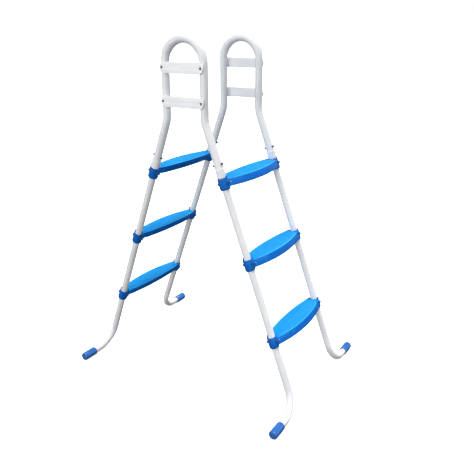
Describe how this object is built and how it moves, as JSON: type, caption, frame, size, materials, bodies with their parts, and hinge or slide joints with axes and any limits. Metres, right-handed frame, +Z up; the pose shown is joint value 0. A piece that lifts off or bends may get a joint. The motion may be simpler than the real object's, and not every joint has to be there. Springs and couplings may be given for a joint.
{
  "type": "pool ladder",
  "caption": "A-frame ladder for an above-ground pool, with tall hoop handrails and lens-shaped treads on both sides.",
  "frame": {"origin": "on the floor in the middle of the four feet", "axes": "+Z up, +X towards the side called front, +Y along the treads towards the side called right"},
  "size_m": [1.0406, 0.758, 1.4399],
  "materials": {
    "tube": "white powder coat on steel tube, semi-gloss",
    "plate": "white moulded plastic",
    "sleeve": "white moulded plastic",
    "plate_screw": "black oxide screw",
    "tread": "azure moulded plastic with fine anti-slip lines",
    "clamp": "azure moulded plastic",
    "clamp_screw": "dark pan head screw",
    "clamp_nut": "dark hexagon nut",
    "foot_cap": "blue soft vinyl cap",
    "button": "dark grey button"
  },
  "bodies": {
    "ladder": {"handrail_left": "tube", "handrail_right": "tube", "grip_plate_upper_left": "plate", "grip_plate_upper_right": "plate", "grip_plate_lower_left": "plate", "grip_plate_lower_right": "plate", "plate_screws_left": "plate_screw", "plate_screws_right": "plate_screw", "slip_sleeve_front_left": "sleeve", "slip_sleeve_front_right": "sleeve", "slip_sleeve_rear_left": "sleeve", "slip_sleeve_rear_right": "sleeve", "leg_front_left": "tube", "leg_front_right": "tube", "leg_rear_left": "tube", "leg_rear_right": "tube", "tread_front_low": "tread", "tread_front_mid": "tread", "tread_front_top": "tread", "tread_rear_low": "tread", "tread_rear_mid": "tread", "tread_rear_top": "tread", "clamp_front_low_left": "clamp", "clamp_front_low_right": "clamp", "clamp_front_mid_left": "clamp", "clamp_front_mid_right": "clamp", "clamp_front_top_left": "clamp", "clamp_front_top_right": "clamp", "clamp_rear_low_left": "clamp", "clamp_rear_low_right": "clamp", "clamp_rear_mid_left": "clamp", "clamp_rear_mid_right": "clamp", "clamp_rear_top_left": "clamp", "clamp_rear_top_right": "clamp", "clamp_screws_front": "clamp_screw", "clamp_screws_rear": "clamp_screw", "clamp_nuts_front": "clamp_nut", "clamp_nuts_rear": "clamp_nut", "foot_cap_front_left": "foot_cap", "foot_cap_front_right": "foot_cap", "foot_cap_rear_left": "foot_cap", "foot_cap_rear_right": "foot_cap"},
    "snap_button_front_left_outer": {"snap_button_front_left_outer": "button"},
    "snap_button_front_left_inner": {"snap_button_front_left_inner": "button"},
    "snap_button_front_right_outer": {"snap_button_front_right_outer": "button"},
    "snap_button_front_right_inner": {"snap_button_front_right_inner": "button"},
    "snap_button_rear_left_outer": {"snap_button_rear_left_outer": "button"},
    "snap_button_rear_left_inner": {"snap_button_rear_left_inner": "button"},
    "snap_button_rear_right_outer": {"snap_button_rear_right_outer": "button"},
    "snap_button_rear_right_inner": {"snap_button_rear_right_inner": "button"}
  },
  "joints": [
    {"name": "press_front_left_outer", "type": "slide", "parent": "ladder", "child": "snap_button_front_left_outer", "axis": [-0.9373, 0, -0.3486], "range_m": [0, 0.0075], "stiffness_N_per_m": 1500, "springref_m": -0.003},
    {"name": "press_front_left_inner", "type": "slide", "parent": "ladder", "child": "snap_button_front_left_inner", "axis": [0.9373, 0, 0.3486], "range_m": [0, 0.0075], "stiffness_N_per_m": 1500, "springref_m": -0.003},
    {"name": "press_front_right_outer", "type": "slide", "parent": "ladder", "child": "snap_button_front_right_outer", "axis": [-0.9373, 0, -0.3486], "range_m": [0, 0.0075], "stiffness_N_per_m": 1500, "springref_m": -0.003},
    {"name": "press_front_right_inner", "type": "slide", "parent": "ladder", "child": "snap_button_front_right_inner", "axis": [0.9373, 0, 0.3486], "range_m": [0, 0.0075], "stiffness_N_per_m": 1500, "springref_m": -0.003},
    {"name": "press_rear_left_outer", "type": "slide", "parent": "ladder", "child": "snap_button_rear_left_outer", "axis": [0.9373, 0, -0.3486], "range_m": [0, 0.0075], "stiffness_N_per_m": 1500, "springref_m": -0.003},
    {"name": "press_rear_left_inner", "type": "slide", "parent": "ladder", "child": "snap_button_rear_left_inner", "axis": [-0.9373, 0, 0.3486], "range_m": [0, 0.0075], "stiffness_N_per_m": 1500, "springref_m": -0.003},
    {"name": "press_rear_right_outer", "type": "slide", "parent": "ladder", "child": "snap_button_rear_right_outer", "axis": [0.9373, 0, -0.3486], "range_m": [0, 0.0075], "stiffness_N_per_m": 1500, "springref_m": -0.003},
    {"name": "press_rear_right_inner", "type": "slide", "parent": "ladder", "child": "snap_button_rear_right_inner", "axis": [-0.9373, 0, 0.3486], "range_m": [0, 0.0075], "stiffness_N_per_m": 1500, "springref_m": -0.003}
  ]
}
